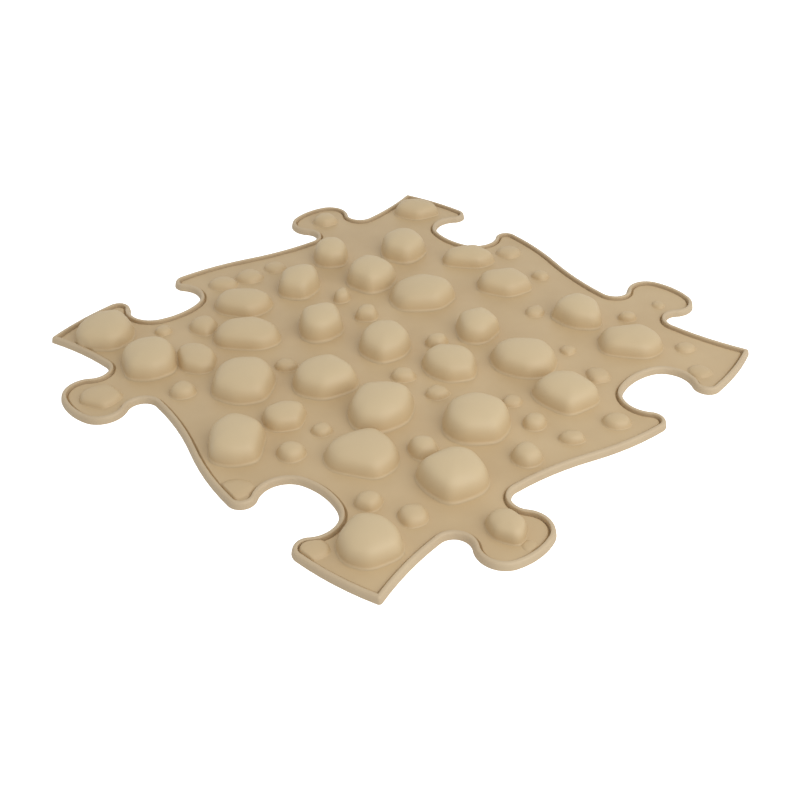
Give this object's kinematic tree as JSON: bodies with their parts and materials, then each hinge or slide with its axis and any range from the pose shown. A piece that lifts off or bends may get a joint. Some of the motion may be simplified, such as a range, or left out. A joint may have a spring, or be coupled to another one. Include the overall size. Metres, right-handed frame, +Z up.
{
  "type": "sensory mat tile",
  "caption": "Square soft floor tile with jigsaw tabs and sockets on every edge, a low raised rim and a relief of rounded river stones and pebbles to walk on barefoot.",
  "frame": {"origin": "middle of the tile on its flat underside", "axes": "+Z up out of the stones; +X and +Y square to two of the edges, so that every edge has its socket before its tab, clockwise seen from above"},
  "size_m": [0.2976, 0.2976, 0.0145],
  "materials": {
    "soft_pvc": "satin, soft moulded PVC in one sand beige"
  },
  "bodies": {
    "root": {"base_sheet": "soft_pvc", "low_pebbles_back_left": "soft_pvc", "low_pebbles_back_right": "soft_pvc", "low_pebbles_front_left": "soft_pvc", "low_pebbles_front_right": "soft_pvc", "pebble_back_left_1": "soft_pvc", "pebble_back_left_2": "soft_pvc", "pebble_back_right_1": "soft_pvc", "pebble_back_right_2": "soft_pvc", "pebble_back_right_3": "soft_pvc", "pebble_back_right_4": "soft_pvc", "pebble_back_right_5": "soft_pvc", "pebble_front_left_1": "soft_pvc", "pebble_front_left_2": "soft_pvc", "pebble_front_left_3": "soft_pvc", "pebble_front_right_1": "soft_pvc", "pebble_front_right_2": "soft_pvc", "pebble_front_right_3": "soft_pvc", "pebble_front_right_4": "soft_pvc", "pebble_front_right_5": "soft_pvc", "pebble_front_right_6": "soft_pvc", "rim_back": "soft_pvc", "rim_front": "soft_pvc", "rim_left": "soft_pvc", "rim_right": "soft_pvc", "stone_back_left_1": "soft_pvc", "stone_back_left_2": "soft_pvc", "stone_back_left_3": "soft_pvc", "stone_back_left_4": "soft_pvc", "stone_back_left_5": "soft_pvc", "stone_back_left_6": "soft_pvc", "stone_back_left_7": "soft_pvc", "stone_back_left_8": "soft_pvc", "stone_back_right_1": "soft_pvc", "stone_back_right_2": "soft_pvc", "stone_back_right_3": "soft_pvc", "stone_back_right_4": "soft_pvc", "stone_back_right_5": "soft_pvc", "stone_back_right_6": "soft_pvc", "stone_front_left_1": "soft_pvc", "stone_front_left_2": "soft_pvc", "stone_front_left_3": "soft_pvc", "stone_front_left_4": "soft_pvc", "stone_front_left_5": "soft_pvc", "stone_front_left_6": "soft_pvc", "stone_front_left_7": "soft_pvc", "stone_front_left_8": "soft_pvc", "stone_front_left_9": "soft_pvc", "stone_front_right_1": "soft_pvc", "stone_front_right_2": "soft_pvc", "stone_front_right_3": "soft_pvc", "stone_front_right_4": "soft_pvc", "stone_front_right_5": "soft_pvc", "stone_front_right_6": "soft_pvc", "stone_front_right_7": "soft_pvc", "tab_pebbles_back": "soft_pvc", "tab_pebbles_front": "soft_pvc", "tab_pebbles_left": "soft_pvc", "tab_pebbles_right": "soft_pvc"}
  },
  "joints": []
}
